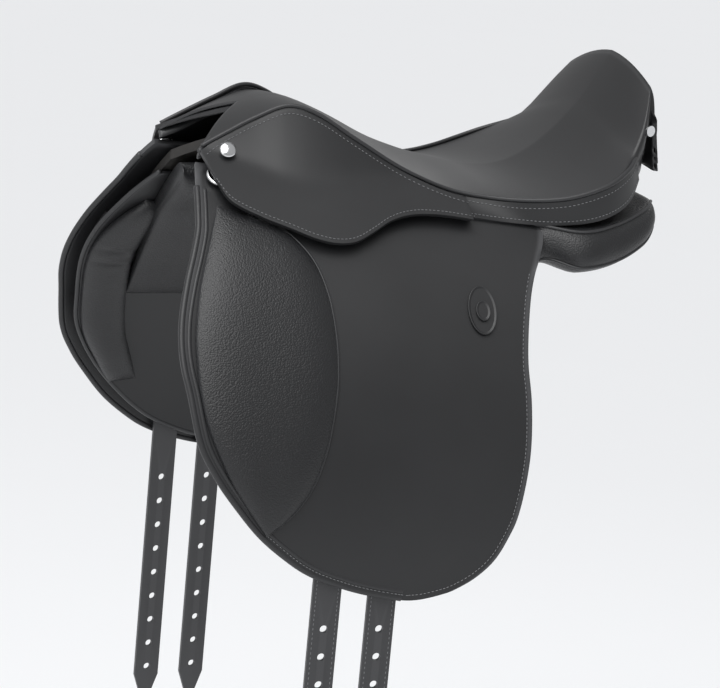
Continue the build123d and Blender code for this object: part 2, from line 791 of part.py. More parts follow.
web_margin = 6.0
with BuildPart() as strap_webs:
    for centre_x in (front_strap_x, rear_strap_x):
        half = strap_width / 2 + web_margin
        outline = polygon_outline(
            [(centre_x - half, 98), (centre_x + half, 98), (centre_x + half, 176), (centre_x - half, 176)]
        )
        add(layer(web_inner_r, web_outer_r, outline, 90, 180))
save_pair(strap_webs.part, "strap_webs", side_frame)

guard_inner_r = strap_inner_r - guard_play - guard_wall
guard_outer_r = strap_outer_r + guard_play + guard_wall
guard_half = strap_width / 2 + guard_play + 5
guard_outline = polygon_outline(
    [
        (front_strap_x - guard_half, guard_low_z), (front_strap_x - guard_half, guard_top_z),
        (rear_strap_x + guard_half, guard_top_z), (rear_strap_x + guard_half, guard_low_z),
    ]
)
with BuildPart() as buckle_guard:
    add(layer(guard_inner_r, guard_outer_r, guard_outline, -60, 80))
    for centre_x in (front_strap_x, rear_strap_x):
        half = strap_width / 2 + guard_play
        outline = polygon_outline(
            [(centre_x - half, -90), (centre_x + half, -90), (centre_x + half, 90), (centre_x - half, 90)]
        )
        add(
            layer(guard_inner_r + guard_wall, guard_outer_r - guard_wall, outline, -80, 85),
            mode=Mode.SUBTRACT,
        )
save_pair(buckle_guard.part, "buckle_guard", side_frame)
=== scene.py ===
import bmesh
import bpy
from math import asin, cos, pi, radians, sin, sqrt, floor
from mathutils import Matrix, Vector


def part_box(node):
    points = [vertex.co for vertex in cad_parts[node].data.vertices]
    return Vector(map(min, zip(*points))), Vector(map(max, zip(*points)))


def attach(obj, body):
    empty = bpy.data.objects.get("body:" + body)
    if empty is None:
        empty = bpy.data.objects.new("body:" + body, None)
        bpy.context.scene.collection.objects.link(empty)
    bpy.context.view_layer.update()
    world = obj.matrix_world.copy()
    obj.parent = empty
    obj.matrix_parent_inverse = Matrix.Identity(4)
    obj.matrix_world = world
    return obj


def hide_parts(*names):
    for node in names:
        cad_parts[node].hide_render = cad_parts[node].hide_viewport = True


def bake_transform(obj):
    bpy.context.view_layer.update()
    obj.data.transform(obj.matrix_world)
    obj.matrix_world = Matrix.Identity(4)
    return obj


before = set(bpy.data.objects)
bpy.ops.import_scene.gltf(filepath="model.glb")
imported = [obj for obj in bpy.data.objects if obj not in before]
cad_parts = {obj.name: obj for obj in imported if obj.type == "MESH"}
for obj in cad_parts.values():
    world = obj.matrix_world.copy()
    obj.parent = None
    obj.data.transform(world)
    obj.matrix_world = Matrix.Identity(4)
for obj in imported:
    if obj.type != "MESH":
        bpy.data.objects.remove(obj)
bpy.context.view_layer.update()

# Shared shape of the two sides, in millimetres from the head and the middle height
side = {"originX": 200, "originZ": 100, "arcY": 116, "arcZ": -138, "yaw": 4.87, "yawX": 150}
layers = {"sweatOuter": 349, "flapOuter": 369, "skirt": 380.6}


def toRow(x, y, z):
    return Vector(((x - side["originX"]) / 1000, y / 1000, (z - side["originZ"]) / 1000))


def sidePoint(x, z, r):
    # near side, on the layer of radius r
    rise = max(z - side["arcZ"], 0)
    y = side["arcY"] - sqrt(max(r * r - rise * rise, 1))
    turn = radians(side["yaw"])
    along = x - y * sin(turn) - side["yawX"]
    return toRow(side["yawX"] + along * cos(turn) + y * sin(turn), y * cos(turn) - along * sin(turn), z)


def sideNormal(x, z, r):
    lean = asin(min(max(z - side["arcZ"], 0) / r, 1))
    turn = radians(side["yaw"])
    return Vector((-sin(turn) * cos(lean), -cos(turn) * cos(lean), sin(lean)))


def throughFour(a, b, c, d, s):
    # smooth step from b to c, with a before and d after
    bend = 2 * a - 5 * b + 4 * c - d
    return 0.5 * (2 * b + (c - a) * s + bend * s * s + (3 * b - a - 3 * c + d) * s ** 3)


def curveAt(points, t):
    # smooth curve through the points, t from 0 to 1 by length
    pts = [Vector(p) for p in points]
    spans = [(b - a).length for a, b in zip(pts, pts[1:])]
    goal = min(max(t, 0), 1) * sum(spans)
    i = 0
    while i < len(spans) - 1 and goal > spans[i]:
        goal -= spans[i]
        i += 1
    s = goal / spans[i]
    a = pts[max(i - 1, 0)]
    b = pts[i]
    c = pts[i + 1]
    d = pts[min(i + 2, len(pts) - 1)]
    return throughFour(a, b, c, d, s)


def tableAt(rows, x):
    # smooth look-up: rows start with x
    for a, b in zip(rows, rows[1:]):
        if x <= b[0] or b is rows[-1]:
            s = min(max((x - a[0]) / (b[0] - a[0]), 0), 1)
            return [p + (q - p) * s for p, q in zip(a, b)]


def finishMesh(bm, name, material, mirrored=False, smooth=True):
    # turns a bmesh into an object whose place is in its mesh
    if mirrored:
        bmesh.ops.scale(bm, vec=(1, -1, 1), verts=bm.verts)
        bmesh.ops.reverse_faces(bm, faces=bm.faces)
    mesh = bpy.data.meshes.new(name)
    bm.to_mesh(mesh)
    bm.free()
    for face in mesh.polygons:
        face.use_smooth = smooth
    obj = bpy.data.objects.new(name, mesh)
    bpy.context.scene.collection.objects.link(obj)
    mesh.materials.append(material)
    return obj


def gridMesh(across, down, place):
    # grid whose vertices are placed by place(u, v), both from 0 to 1
    bm = bmesh.new()
    bmesh.ops.create_grid(bm, x_segments=across, y_segments=down, size=0.5)
    for vert in bm.verts:
        vert.co = place(vert.co.x + 0.5, 0.5 - vert.co.y)
    return bm


def faceAway(obj, mirrored, inwards=False):
    # turns a side sheet to face away from the centre plane, or towards it
    middle = obj.data.polygons[len(obj.data.polygons) // 2].normal.y
    if ((middle < 0) if inwards else (middle > 0)) != mirrored:
        obj.data.flip_normals()


def addSolidify(obj, thickness, offset=-1):
    mod = obj.modifiers.new("thickness", "SOLIDIFY")
    mod.thickness = thickness / 1000
    mod.offset = offset


def addBevel(obj, width, segments=3, angle=40):
    mod = obj.modifiers.new("edge", "BEVEL")
    mod.width = width / 1000
    mod.segments = segments
    mod.limit_method = "ANGLE"
    mod.angle_limit = radians(angle)


def tube(name, path, radius, material, mirrored=False, steps=120, ring=10):
    # round cord of leather along path(t)
    bm = bmesh.new()
    last = None
    for i in range(steps + 1):
        t = i / steps
        here = path(t)
        ahead = (path(min(t + 0.002, 1)) - path(max(t - 0.002, 0))).normalized()
        turn = ahead.to_track_quat("Z", "Y").to_matrix().to_4x4()
        loop = bmesh.ops.create_circle(bm, segments=ring, radius=radius / 1000,
                                       matrix=Matrix.Translation(here) @ turn)["verts"]
        if last:
            for k in range(ring):
                bm.faces.new((last[k], last[(k + 1) % ring], loop[(k + 1) % ring], loop[k]))
        else:
            bm.faces.new(list(reversed(loop)))
        last = loop
    bm.faces.new(last)
    bmesh.ops.recalc_face_normals(bm, faces=bm.faces)
    return finishMesh(bm, name, material, mirrored)


stitchLook = {"length": 2.9, "pitch": 4.2, "width": 0.42, "height": 0.34}


def stitchRow(name, path, normal, span, mirrored=False):
    # short thread stitches along path(t); span is its length in mm
    bm = bmesh.new()
    count = max(int(span / stitchLook["pitch"]), 2)
    for i in range(count):
        t = (i + 0.5) / count
        here = path(t)
        ahead = (path(min(t + 0.004, 1)) - path(max(t - 0.004, 0))).normalized()
        up = normal(t)
        sideways = up.cross(ahead).normalized()
        turn = Matrix((ahead, sideways, up)).transposed().to_4x4()
        size = Matrix.Diagonal((stitchLook["length"] / 2000, stitchLook["width"] / 1000,
                                stitchLook["height"] / 1000, 1))
        bmesh.ops.create_icosphere(bm, subdivisions=1, radius=1,
                                   matrix=Matrix.Translation(here) @ turn @ size)
    return finishMesh(bm, name, threadMat, mirrored)


class Wire:
    # a shader socket that takes + - * / and powers
    def __init__(self, tree, socket):
        self.tree = tree
        self.socket = socket

    def maths(self, operation, other, swap=False):
        node = self.tree.nodes.new("ShaderNodeMath")
        node.operation = operation
        pair = (other, self) if swap else (self, other)
        for inlet, value in zip(node.inputs, pair):
            joinUp(self.tree, inlet, value)
        return Wire(self.tree, node.outputs[0])

    def __add__(self, other):
        return self.maths("ADD", other)

    def __radd__(self, other):
        return self.maths("ADD", other, True)

    def __sub__(self, other):
        return self.maths("SUBTRACT", other)

    def __rsub__(self, other):
        return self.maths("SUBTRACT", other, True)

    def __mul__(self, other):
        return self.maths("MULTIPLY", other)

    def __rmul__(self, other):
        return self.maths("MULTIPLY", other, True)

    def __pow__(self, other):
        return self.maths("POWER", other)


def joinUp(tree, inlet, value):
    if isinstance(value, Wire):
        tree.links.new(value.socket, inlet)
    else:
        inlet.default_value = value


class Finish:
    # one material and its nodes
    def __init__(self, name, roughness, metallic=0.0, coat=0.0, specular=0.5):
        self.mat = bpy.data.materials.new(name)
        self.mat.use_nodes = True
        self.tree = self.mat.node_tree
        self.shader = self.tree.nodes["Principled BSDF"]
        self.shader.inputs["Roughness"].default_value = roughness
        self.shader.inputs["Metallic"].default_value = metallic
        self.shader.inputs["Coat Weight"].default_value = coat
        self.shader.inputs["Specular IOR Level"].default_value = specular

    def node(self, kind, settings=None, inputs=None, out=0):
        made = self.tree.nodes.new(kind)
        for key, value in (settings or {}).items():
            setattr(made, key, value)
        for key, value in (inputs or {}).items():
            joinUp(self.tree, made.inputs[key], value)
        return Wire(self.tree, made.outputs[out])

    def place(self):
        return self.node("ShaderNodeTexCoord", out="Object")

    def noise(self, scale, detail=3.0, rough=0.55, at=None):
        made = self.tree.nodes.new("ShaderNodeTexNoise")
        joinUp(self.tree, made.inputs["Vector"], at or self.place())
        made.inputs["Scale"].default_value = scale
        made.inputs["Detail"].default_value = detail
        made.inputs["Roughness"].default_value = rough
        return Wire(self.tree, made.outputs[0])

    def mixColour(self, factor, low, high):
        made = self.tree.nodes.new("ShaderNodeMix")
        made.data_type = "RGBA"
        joinUp(self.tree, made.inputs[0], factor)
        joinUp(self.tree, made.inputs[6], low)
        joinUp(self.tree, made.inputs[7], high)
        return Wire(self.tree, made.outputs[2])

    def colour(self, value):
        joinUp(self.tree, self.shader.inputs["Base Color"], value)

    def roughness(self, value):
        joinUp(self.tree, self.shader.inputs["Roughness"], value)

    def bump(self, height, distance, strength=1.0):
        made = self.tree.nodes.new("ShaderNodeBump")
        made.inputs["Strength"].default_value = strength
        made.inputs["Distance"].default_value = distance
        joinUp(self.tree, made.inputs["Height"], height)
        self.tree.links.new(made.outputs[0], self.shader.inputs["Normal"])


leatherLook = {
    "smooth": {"dark": (0.008, 0.0082, 0.009, 1), "light": (0.020, 0.0205, 0.022, 1),
               "rough": 0.43, "grain": 900, "depth": 0.00010, "pebble": 0.25},
    "seat": {"dark": (0.010, 0.0102, 0.011, 1), "light": (0.022, 0.0225, 0.024, 1),
             "rough": 0.40, "grain": 1150, "depth": 0.00007, "pebble": 0.3},
    "pebbled": {"dark": (0.006, 0.0062, 0.007, 1), "light": (0.016, 0.0165, 0.018, 1),
                "rough": 0.36, "grain": 640, "depth": 0.00042, "pebble": 1.0},
    "strap": {"dark": (0.010, 0.010, 0.011, 1), "light": (0.020, 0.020, 0.022, 1),
              "rough": 0.46, "grain": 800, "depth": 0.00012, "pebble": 0.3},
}


def leatherFinish(name, look):
    made = Finish(name, look["rough"], specular=0.5)
    warp = made.noise(look["grain"] * 0.35, 2.0)
    cells = made.node("ShaderNodeTexVoronoi", {"feature": "F1", "distance": "EUCLIDEAN"},
                      {"Vector": made.place(), "Scale": look["grain"], "Randomness": 0.9})
    fine = made.noise(look["grain"] * 2.2, 4.0, 0.6)
    broad = made.noise(7.0, 3.0)
    grain = (1 - cells ** 1.5) * look["pebble"] + fine * 0.45 + warp * 0.3
    edges = made.node("ShaderNodeNewGeometry", out="Pointiness")
    wear = made.node("ShaderNodeMapRange", {}, {"Value": edges, "From Min": 0.52, "From Max": 0.62,
                                                "To Min": 0.0, "To Max": 0.55})
    tone = broad * 0.75 + cells * 0.25 * look["pebble"]
    worn = made.mixColour(wear, made.mixColour(tone, look["dark"], look["light"]), (0.075, 0.076, 0.08, 1))
    made.colour(worn)
    made.roughness(look["rough"] - 0.06 + broad * 0.12 + cells * 0.08 * look["pebble"])
    made.bump(grain, look["depth"], 0.7)
    return made.mat


def metalFinish(name, tint, rough, brush):
    made = Finish(name, rough, metallic=1.0)
    scratches = made.noise(brush, 4.0, 0.7)
    made.colour(made.mixColour(scratches, tuple(c * 0.8 for c in tint[:3]) + (1,), tint))
    made.roughness(rough - 0.05 + scratches * 0.12)
    made.bump(scratches, 0.00003, 0.4)
    return made.mat


def woodFinish(name):
    made = Finish(name, 0.5)
    grainPlace = made.node("ShaderNodeMapping", {}, {"Vector": made.place(), "Scale": (4, 60, 60)})
    rings = made.noise(4.0, 5.0, 0.6, grainPlace)
    made.colour(made.mixColour(rings, (0.010, 0.0095, 0.009, 1), (0.030, 0.027, 0.024, 1)))
    made.bump(rings, 0.0003, 0.4)
    return made.mat


def clothFinish(name, dark, light, pitch):
    made = Finish(name, 0.85, specular=0.2)
    weave = made.node("ShaderNodeTexWave", {"bands_direction": "X"}, {"Vector": made.place(), "Scale": pitch})
    cross = made.node("ShaderNodeTexWave", {"bands_direction": "Z"}, {"Vector": made.place(), "Scale": pitch})
    made.colour(made.mixColour(weave * cross, dark, light))
    made.bump(weave + cross, 0.0003, 0.5)
    return made.mat


print("finishes")
smoothMat = leatherFinish("smoothLeather", leatherLook["smooth"])
seatMat = leatherFinish("seatLeather", leatherLook["seat"])
pebbleMat = leatherFinish("pebbledLeather", leatherLook["pebbled"])
strapMat = leatherFinish("strapLeather", leatherLook["strap"])
steelMat = metalFinish("brushedSteel", (0.55, 0.55, 0.56, 1), 0.32, 300)
chromeMat = metalFinish("platedMetal", (0.78, 0.79, 0.80, 1), 0.14, 180)
beechMat = woodFinish("laminatedBeech")
webMat = clothFinish("whiteWebbing", (0.35, 0.32, 0.26, 1), (0.62, 0.58, 0.50, 1), 240)
foamMat = clothFinish("blackFelt", (0.02, 0.02, 0.021, 1), (0.05, 0.05, 0.052, 1), 400)
threadLook = Finish("waxedThread", 0.6)
threadTwist = threadLook.noise(900)
threadLook.colour(threadLook.mixColour(threadTwist, (0.10, 0.102, 0.107, 1), (0.24, 0.243, 0.25, 1)))
threadMat = threadLook.mat
nodeFinish = {
    "tree_frame": beechMat, "gullet_plate": steelMat, "gullet_screws": steelMat, "frame_rivets": steelMat,
    "seat_webs": webMat, "seat_foam": foamMat, "channel_lining": smoothMat, "cantle_nails": chromeMat,
    "strap_webs": webMat, "stirrup_bar": steelMat, "bar_catch": steelMat, "catch_pin": steelMat,
    "knee_block": foamMat, "thigh_block": foamMat, "point_pocket": smoothMat, "front_strap": strapMat,
    "rear_strap": strapMat, "buckle_guard": smoothMat, "dee_ring": chromeMat, "dee_tab": steelMat,
}
for nodeName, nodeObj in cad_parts.items():
    key = nodeName.replace("near_", "").replace("off_", "")
    if key in nodeFinish:
        nodeObj.data.materials.clear()
        nodeObj.data.materials.append(nodeFinish[key])


# x, half width, edge height, height half way in, centre height, underside height
seatSections = [
    (6, 60, 187, 200, 205, 178), (30, 58, 203, 211, 213, 190), (58, 58, 217.5, 223, 225, 205),
    (84, 62, 229, 231.5, 232, 214), (110, 70, 223.5, 229, 230, 208), (144, 82, 204.5, 213, 217, 192),
    (186, 94, 181.5, 192, 197, 170), (227, 104, 167, 179.5, 185, 158), (259, 116, 162.5, 174, 179, 153),
    (290, 132, 163, 170, 174, 154), (321, 146, 167.5, 172, 176, 158), (346, 151, 175, 181, 187, 165),
    (372, 148, 186, 198, 207, 172), (400, 124, 206, 229, 239, 183), (418, 109, 238, 262, 270, 188),
    (429, 84, 268, 283, 290, 196),
]
seatLook = {"rows": 150, "columns": 96, "front": 6, "notch": 58, "rear": 429, "edgeRoll": 3.5,
            "backRoll": 3.6, "footSpread": 0.20, "topShare": 0.84, "backStart": 0.86}


def seatHeight(x, a):
    # a is the place across, 0 at the centre line and 1 at the welt
    lo = tableAt(seatSections, x)
    edge, mid, top = lo[2], lo[3], lo[4]
    curve = 2 * (edge + top) - 4 * mid
    slope = 4 * mid - 3 * top - edge
    return top + slope * a + curve * a * a, lo


def smoothSections():
    # eases the kinks between stations
    rows = []
    for i in range(57):
        x = 6 + 423 * i / 56
        near = [tableAt(seatSections, x + d) for d in (-12, -6, 0, 6, 12)]
        if x > 392:
            near = [tableAt(seatSections, x + d) for d in (-4, -2, 0, 2, 4)]
        rows.append([x] + [sum(r[k] for r in near) / 5 for k in range(1, 6)])
    return rows


seatSections = smoothSections()


def seatPlace(u, v):
    # u from the head to the cantle and down behind it; v from the near edge to the off edge
    across = 2 * v - 1
    a = abs(across)
    topShare = seatLook["topShare"]
    backStart = seatLook["backStart"]
    t = min(u / backStart, 1)
    flat = min(a / topShare, 1)
    start = seatLook["front"] + (seatLook["notch"] - seatLook["front"]) * (1 - flat)
    x = start + (seatLook["rear"] - start) * t
    z, row = seatHeight(x, flat)
    half = row[1] * flat
    if a > topShare:
        s = (a - topShare) / (1 - topShare)
        half = row[1] + seatLook["edgeRoll"] * sin(pi * min(s * 1.4, 1)) - 2 * s
        z = row[2] + (row[5] - row[2]) * s
    if u > backStart:
        # the back of the cantle: rolls over, then hangs down and opens out to the panel's width
        s = (u - backStart) / (1 - backStart)
        foot = 197 - 6 * flat * flat
        x = seatLook["rear"] + seatLook["backRoll"] * sin(pi * min(s * 2.2, 0.5))
        half = half * (1 + seatLook["footSpread"] * s)
        z = z + (foot - z) * s + 1.2 * sin(pi * min(s * 4, 1))
    return toRow(x, half if across > 0 else -half, z)


def makeSeat():
    bm = gridMesh(seatLook["rows"], seatLook["columns"], seatPlace)
    bmesh.ops.recalc_face_normals(bm, faces=bm.faces)
    bmesh.ops.reverse_faces(bm, faces=bm.faces)
    obj = finishMesh(bm, "seatLeather", seatMat)
    if obj.data.polygons[len(obj.data.polygons) // 2].normal.z < 0:
        obj.data.flip_normals()
    addSolidify(obj, 2.6)
    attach(obj, "saddle")
    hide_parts("seat_cover", "cantle_back")


print("seat")
makeSeat()


skirtTop = [
    (5, -63, 189), (28, -62, 202), (56, -61, 217), (84, -65, 229), (110, -73, 223.5),
    (144, -85, 204), (186, -97, 181), (227, -107, 166), (259, -119, 162), (290, -135, 162.5),
    (321, -149, 167), (346, -154, 174.5), (370, -151, 184), (392, -136, 195), (404, -121, 204),
]
skirtEdge = [
    (12, -84, 168), (20, -102, 154.5), (43, -118, 144), (68, -129, 136), (88, -137, 129.5),
    (106, -141, 126.5), (124, -141, 128), (142, -135, 135.5), (162, -127.5, 145),
    (184, -122.5, 150), (211, -124, 150.5), (245, -130.5, 147.5), (280, -137, 144.5),
    (315, -144, 144), (347, -152, 148.5), (372, -150, 156), (394, -138, 167), (411, -118, 184),
]
skirtLook = {"thickness": 3.6, "along": 150, "down": 26}


def skirtPlace(t, w, lift=0.0):
    # t from head to cantle, w from the welt to the free edge
    top = curveAt(skirtTop, t)
    edge = curveAt(skirtEdge, t)
    knee = Vector((0.45 * top.x + 0.55 * edge.x, 0.62 * top.y + 0.38 * edge.y, 0.40 * top.z + 0.60 * edge.z))
    p = top * (1 - w) ** 2 + knee * 2 * w * (1 - w) + edge * w * w
    # below the seat the leather lies over the bar and the flap
    rise = p.z - side["arcZ"]
    square = side["arcY"] - sqrt(max(layers["skirt"] ** 2 - rise * rise, 900))
    layer = square - (p.x - side["yawX"]) * sin(radians(side["yaw"]))
    gap = p.y - layer
    y = (p.y + layer - sqrt(gap * gap + 16)) / 2 if p.x < 240 else p.y
    return toRow(p.x, y - lift * 0.8, p.z + lift * 0.6)


def skirtNormal(t, w):
    a = skirtPlace(min(t + 0.005, 1), w) - skirtPlace(max(t - 0.005, 0), w)
    b = skirtPlace(t, min(w + 0.01, 1)) - skirtPlace(t, max(w - 0.01, 0))
    n = a.cross(b).normalized()
    return n if n.y < 0 or n.z > 0 else -n


def foldSkirt(obj):
    # works out the middle and downward direction of the lobe below the seat, but only bakes the transform
    # into the mesh; nothing is bent
    middle = sidePoint(100, 164, 378)
    down = (sidePoint(97, 150, 378) - sidePoint(100, 178, 378)).normalized()
    down = (down + Vector((-0.15, 0, 0))).normalized()
    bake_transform(obj)


def makeSkirt(label, mirrored):
    bm = gridMesh(skirtLook["along"], skirtLook["down"], skirtPlace)
    bmesh.ops.recalc_face_normals(bm, faces=bm.faces)
    obj = finishMesh(bm, label + "SkirtLeather", smoothMat, mirrored)
    outward = obj.data.polygons[len(obj.data.polygons) // 2].normal
    if outward.z < 0:
        obj.data.flip_normals()
    addSolidify(obj, skirtLook["thickness"])
    addBevel(obj, 0.9)
    foldSkirt(obj)
    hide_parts(label + "_skirt", label + "_skirt_band")
    rows = [("LowStitch", lambda t: skirtPlace(0.004 + 0.985 * t, 1 - 4.4 / skirtDepth(t), 0.25), 520),
            ("TopStitch", lambda t: skirtPlace(0.012 + 0.975 * t, 4.6 / skirtDepth(t), 0.25), 480)]
    for name, path, span in rows:
        row = stitchRow(label + "Skirt" + name, path, lambda t: skirtNormal(t, 0.5), span, mirrored)
        foldSkirt(row)


def skirtDepth(t):
    return (curveAt(skirtTop, t) - curveAt(skirtEdge, t)).length


print("skirts")
for label, mirrored in (("near", False), ("off", True)):
    makeSkirt(label, mirrored)


def makeWelts(label, mirrored):
    weltPath = lambda t: toRow(*(curveAt(skirtTop, 0.01 + 0.98 * t) + Vector((0, 1.2, 2.2))))
    welt = tube(label + "SeatWelt", weltPath, 2.1, smoothMat, mirrored, 160)
    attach(welt, "saddle")
    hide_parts(label + "_seat_welt")


for label, mirrored in (("near", False), ("off", True)):
    makeWelts(label, mirrored)

headEdge = [
    (5, -64, 188), (22, -46, 199), (40, -24, 209), (55, 0, 217), (40, 24, 209), (22, 46, 199),
    (5, 64, 188),
]
headBinding = tube("headBinding", lambda t: toRow(*curveAt(headEdge, t)), 2.6, smoothMat, steps=80)
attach(headBinding, "saddle")
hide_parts("head_binding")


flapFront = [
    (2, 178), (-4, 160), (-9, 140), (-12, 129), (-20, 111), (-29, 91), (-37, 67), (-40.5, 46),
    (-40, 26), (-36, 5), (-28, -35), (-14, -62), (3, -85), (27, -112), (55, -134), (76, -146),
    (101, -155), (126, -161.5), (156, -166.5),
]
flapRear = [
    (312, 150), (306, 132), (298, 118), (289, 104), (281, 86), (274, 61), (270, 35), (270, 5),
    (268, -30), (264, -58), (257, -90), (250, -108), (238, -130), (222, -146), (204, -157),
    (192, -161.5), (176, -165.5), (164, -166.8), (157, -166.6),
]
flapLook = {"thickness": 4.2, "across": 90, "down": 110}


def flapSpot(u, v):
    a = curveAt(flapFront, v)
    b = curveAt(flapRear, v)
    return a + (b - a) * u


def foldFlap(obj, mirrored):
    flip = Vector((1, -1, 1)) if mirrored else Vector((1, 1, 1))
    middle = sidePoint(140, 122, 365)
    axis = (sidePoint(280, 104, 365) - sidePoint(0, 140, 365)).normalized()
    out = sideNormal(140, 122, 365)
    down = out.cross(axis).normalized()
    down = down if down.z < 0 else -down
    start = (middle - down * 0.011) * flip
    end = (middle + down * 0.009) * flip
    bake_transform(obj)


def flapPath(points, r):
    # path along a side-view curve, with its outward direction
    def path(t):
        p = curveAt(points, t)
        return sidePoint(p.x, p.y, r)

    def normal(t):
        p = curveAt(points, t)
        return sideNormal(p.x, p.y, r)
    return path, normal


def insetCurve(points, inset):
    # moves a side-view curve towards the middle of the flap
    moved = []
    for i, p in enumerate(points):
        a = Vector(points[max(i - 1, 0)])
        b = Vector(points[min(i + 1, len(points) - 1)])
        along = (b - a).normalized()
        moved.append(tuple(Vector(p) + Vector((-along.y, along.x)) * inset))
    return moved


def makeFlap(label, mirrored):
    def place(u, v):
        p = flapSpot(u, v)
        return sidePoint(p.x, p.y, layers["flapOuter"] - 0.4)
    bm = gridMesh(flapLook["across"], flapLook["down"], place)
    obj = finishMesh(bm, label + "FlapLeather", smoothMat, mirrored)
    faceAway(obj, mirrored)
    addSolidify(obj, flapLook["thickness"])
    addBevel(obj, 1.0)
    foldFlap(obj, mirrored)
    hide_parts(label + "_flap", label + "_flap_head")
    edge = [p for p in flapFront if p[1] < -100] + list(reversed([p for p in flapRear if p[1] < 112]))[1:]
    path, normal = flapPath(insetCurve(edge, 5.0), layers["flapOuter"] - 0.1)
    row = stitchRow(label + "FlapStitch", path, normal, 560, mirrored)
    foldFlap(row, mirrored)


def makeBorder(label, mirrored):
    # rolled binding along the front edge and round the toe of the flap
    edge = [p for p in flapFront if p[1] < 175]
    for name, inset, radius, r in (("FrontRoll", 1.6, 3.1, 366.4), ("FrontPiping", 7.6, 2.3, 367.2)):
        path, normal = flapPath(insetCurve(edge, inset), r)
        roll = tube(label + name, path, radius, smoothMat, mirrored, 200, 12)
        foldFlap(roll, mirrored)
        if name == "FrontRoll":
            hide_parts(label + "_flap_border")


print("flaps")
for label, mirrored in (("near", False), ("off", True)):
    makeFlap(label, mirrored)
    makeBorder(label, mirrored)


padFront = [
    (10, 148), (0, 130), (-11, 108), (-20, 86), (-26, 62), (-28.5, 40), (-27, 8), (-20, -24),
    (-3, -62), (13, -87), (30, -109),
]
padRear = [
    (60, 137), (76, 124), (88, 108), (95, 84), (97, 55), (96, 30), (93, 6), (84, -33), (71, -67),
    (53, -92), (31, -110),
]
padLook = {"height": 9.0, "across": 60, "down": 90}


def padPlace(u, v):
    a = curveAt(padFront, v)
    b = curveAt(padRear, v)
    p = a + (b - a) * u
    crown = (1 - abs(2 * u - 1) ** 3.2) * (1 - abs(2 * v - 1) ** 5)
    soft = 0.5 * sin(9 * v + 3 * u) * crown * 0.6
    height = 0.8 + padLook["height"] * crown ** 0.75 + soft
    return sidePoint(p.x, p.y, layers["flapOuter"] + height)


def makePad(label, mirrored):
    bm = gridMesh(padLook["across"], padLook["down"], padPlace)
    obj = finishMesh(bm, label + "KneePad", pebbleMat, mirrored)
    faceAway(obj, mirrored)
    addSolidify(obj, 1.2)
    foldFlap(obj, mirrored)
    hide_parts(label + "_knee_pad")
    for i, inset in enumerate((-4.2, -8.4)):
        path, normal = flapPath(insetCurve(list(reversed(padRear)), -inset), layers["flapOuter"] - 0.1)
        row = stitchRow(label + "PadStitch" + str(i), path, normal, 290, mirrored)
        foldFlap(row, mirrored)
    path, normal = flapPath(insetCurve(list(reversed(padRear)), 0.6), layers["flapOuter"] + 0.6)
    seam = tube(label + "PadSeam", path, 1.3, smoothMat, mirrored, 120, 8)
    foldFlap(seam, mirrored)


print("knee pads")
for label, mirrored in (("near", False), ("off", True)):
    makePad(label, mirrored)


keeperLook = {"x": 233, "z": 76, "halfWidth": 13, "halfHeight": 23, "rise": 2.4}


def ovalPatch(name, mirrored, halfWidth, halfHeight, rise, lift, material):
    # raised oval on the flap with a sunk middle
    bm = bmesh.new()
    here = sidePoint(keeperLook["x"], keeperLook["z"], layers["flapOuter"] + lift)
    out = sideNormal(keeperLook["x"], keeperLook["z"], layers["flapOuter"])
    behind = sidePoint(keeperLook["x"] + 1, keeperLook["z"], 367)
    before = sidePoint(keeperLook["x"] - 1, keeperLook["z"], 367)
    along = (behind - before).normalized()
    turn = Matrix((along, out.cross(along), out)).transposed().to_4x4()
    bmesh.ops.create_circle(bm, cap_ends=True, segments=48, radius=1)
    top = bmesh.ops.extrude_face_region(bm, geom=bm.faces[:])
    raised = [g for g in top["geom"] if isinstance(g, bmesh.types.BMVert)]
    bmesh.ops.translate(bm, vec=(0, 0, rise / 1000), verts=raised)
    bmesh.ops.scale(bm, vec=(halfWidth / 1000, halfHeight / 1000, 1), verts=bm.verts)
    lid = [f for f in bm.faces if all(v in raised for v in f.verts)]
    bmesh.ops.inset_region(bm, faces=lid, thickness=0.0022, depth=-0.0009)
    bmesh.ops.recalc_face_normals(bm, faces=bm.faces)
    bmesh.ops.transform(bm, matrix=Matrix.Translation(here) @ turn, verts=bm.verts)
    obj = finishMesh(bm, name, material, mirrored, smooth=False)
    addBevel(obj, 0.7, 3, 30)
    return obj


def makeKeeper(label, mirrored):
    obj = ovalPatch(label + "LeatherKeeper", mirrored, keeperLook["halfWidth"], keeperLook["halfHeight"],
                    keeperLook["rise"], -0.2, smoothMat)
    foldFlap(obj, mirrored)
    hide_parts(label + "_leather_keeper")
    boss = ovalPatch(label + "KeeperBoss", mirrored, 6.5, 9.5, 2.4, 1.4, smoothMat)
    foldFlap(boss, mirrored)


def makeNail(label, mirrored):
    low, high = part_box(label + "_nail")
    centre = (Vector(low) + Vector(high)) / 2
    out = Vector((-0.12, 0.80 if mirrored else -0.80, 0.58)).normalized()
    turn = out.to_track_quat("Z", "Y").to_matrix().to_4x4()
    bm = bmesh.new()
    bmesh.ops.create_uvsphere(bm, u_segments=32, v_segments=16, radius=1)
    bmesh.ops.scale(bm, vec=(0.0071, 0.0071, 0.0021), verts=bm.verts)
    bmesh.ops.create_cone(bm, cap_ends=True, segments=40, radius1=0.0073, radius2=0.0073, depth=0.0012)
    bmesh.ops.transform(bm, matrix=Matrix.Translation(centre) @ turn, verts=bm.verts)
    obj = finishMesh(bm, label + "NailHead", chromeMat)
    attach(obj, "saddle")
    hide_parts(label + "_nail")


print("keepers and nails")
for label, mirrored in (("near", False), ("off", True)):
    makeKeeper(label, mirrored)
    makeNail(label, mirrored)


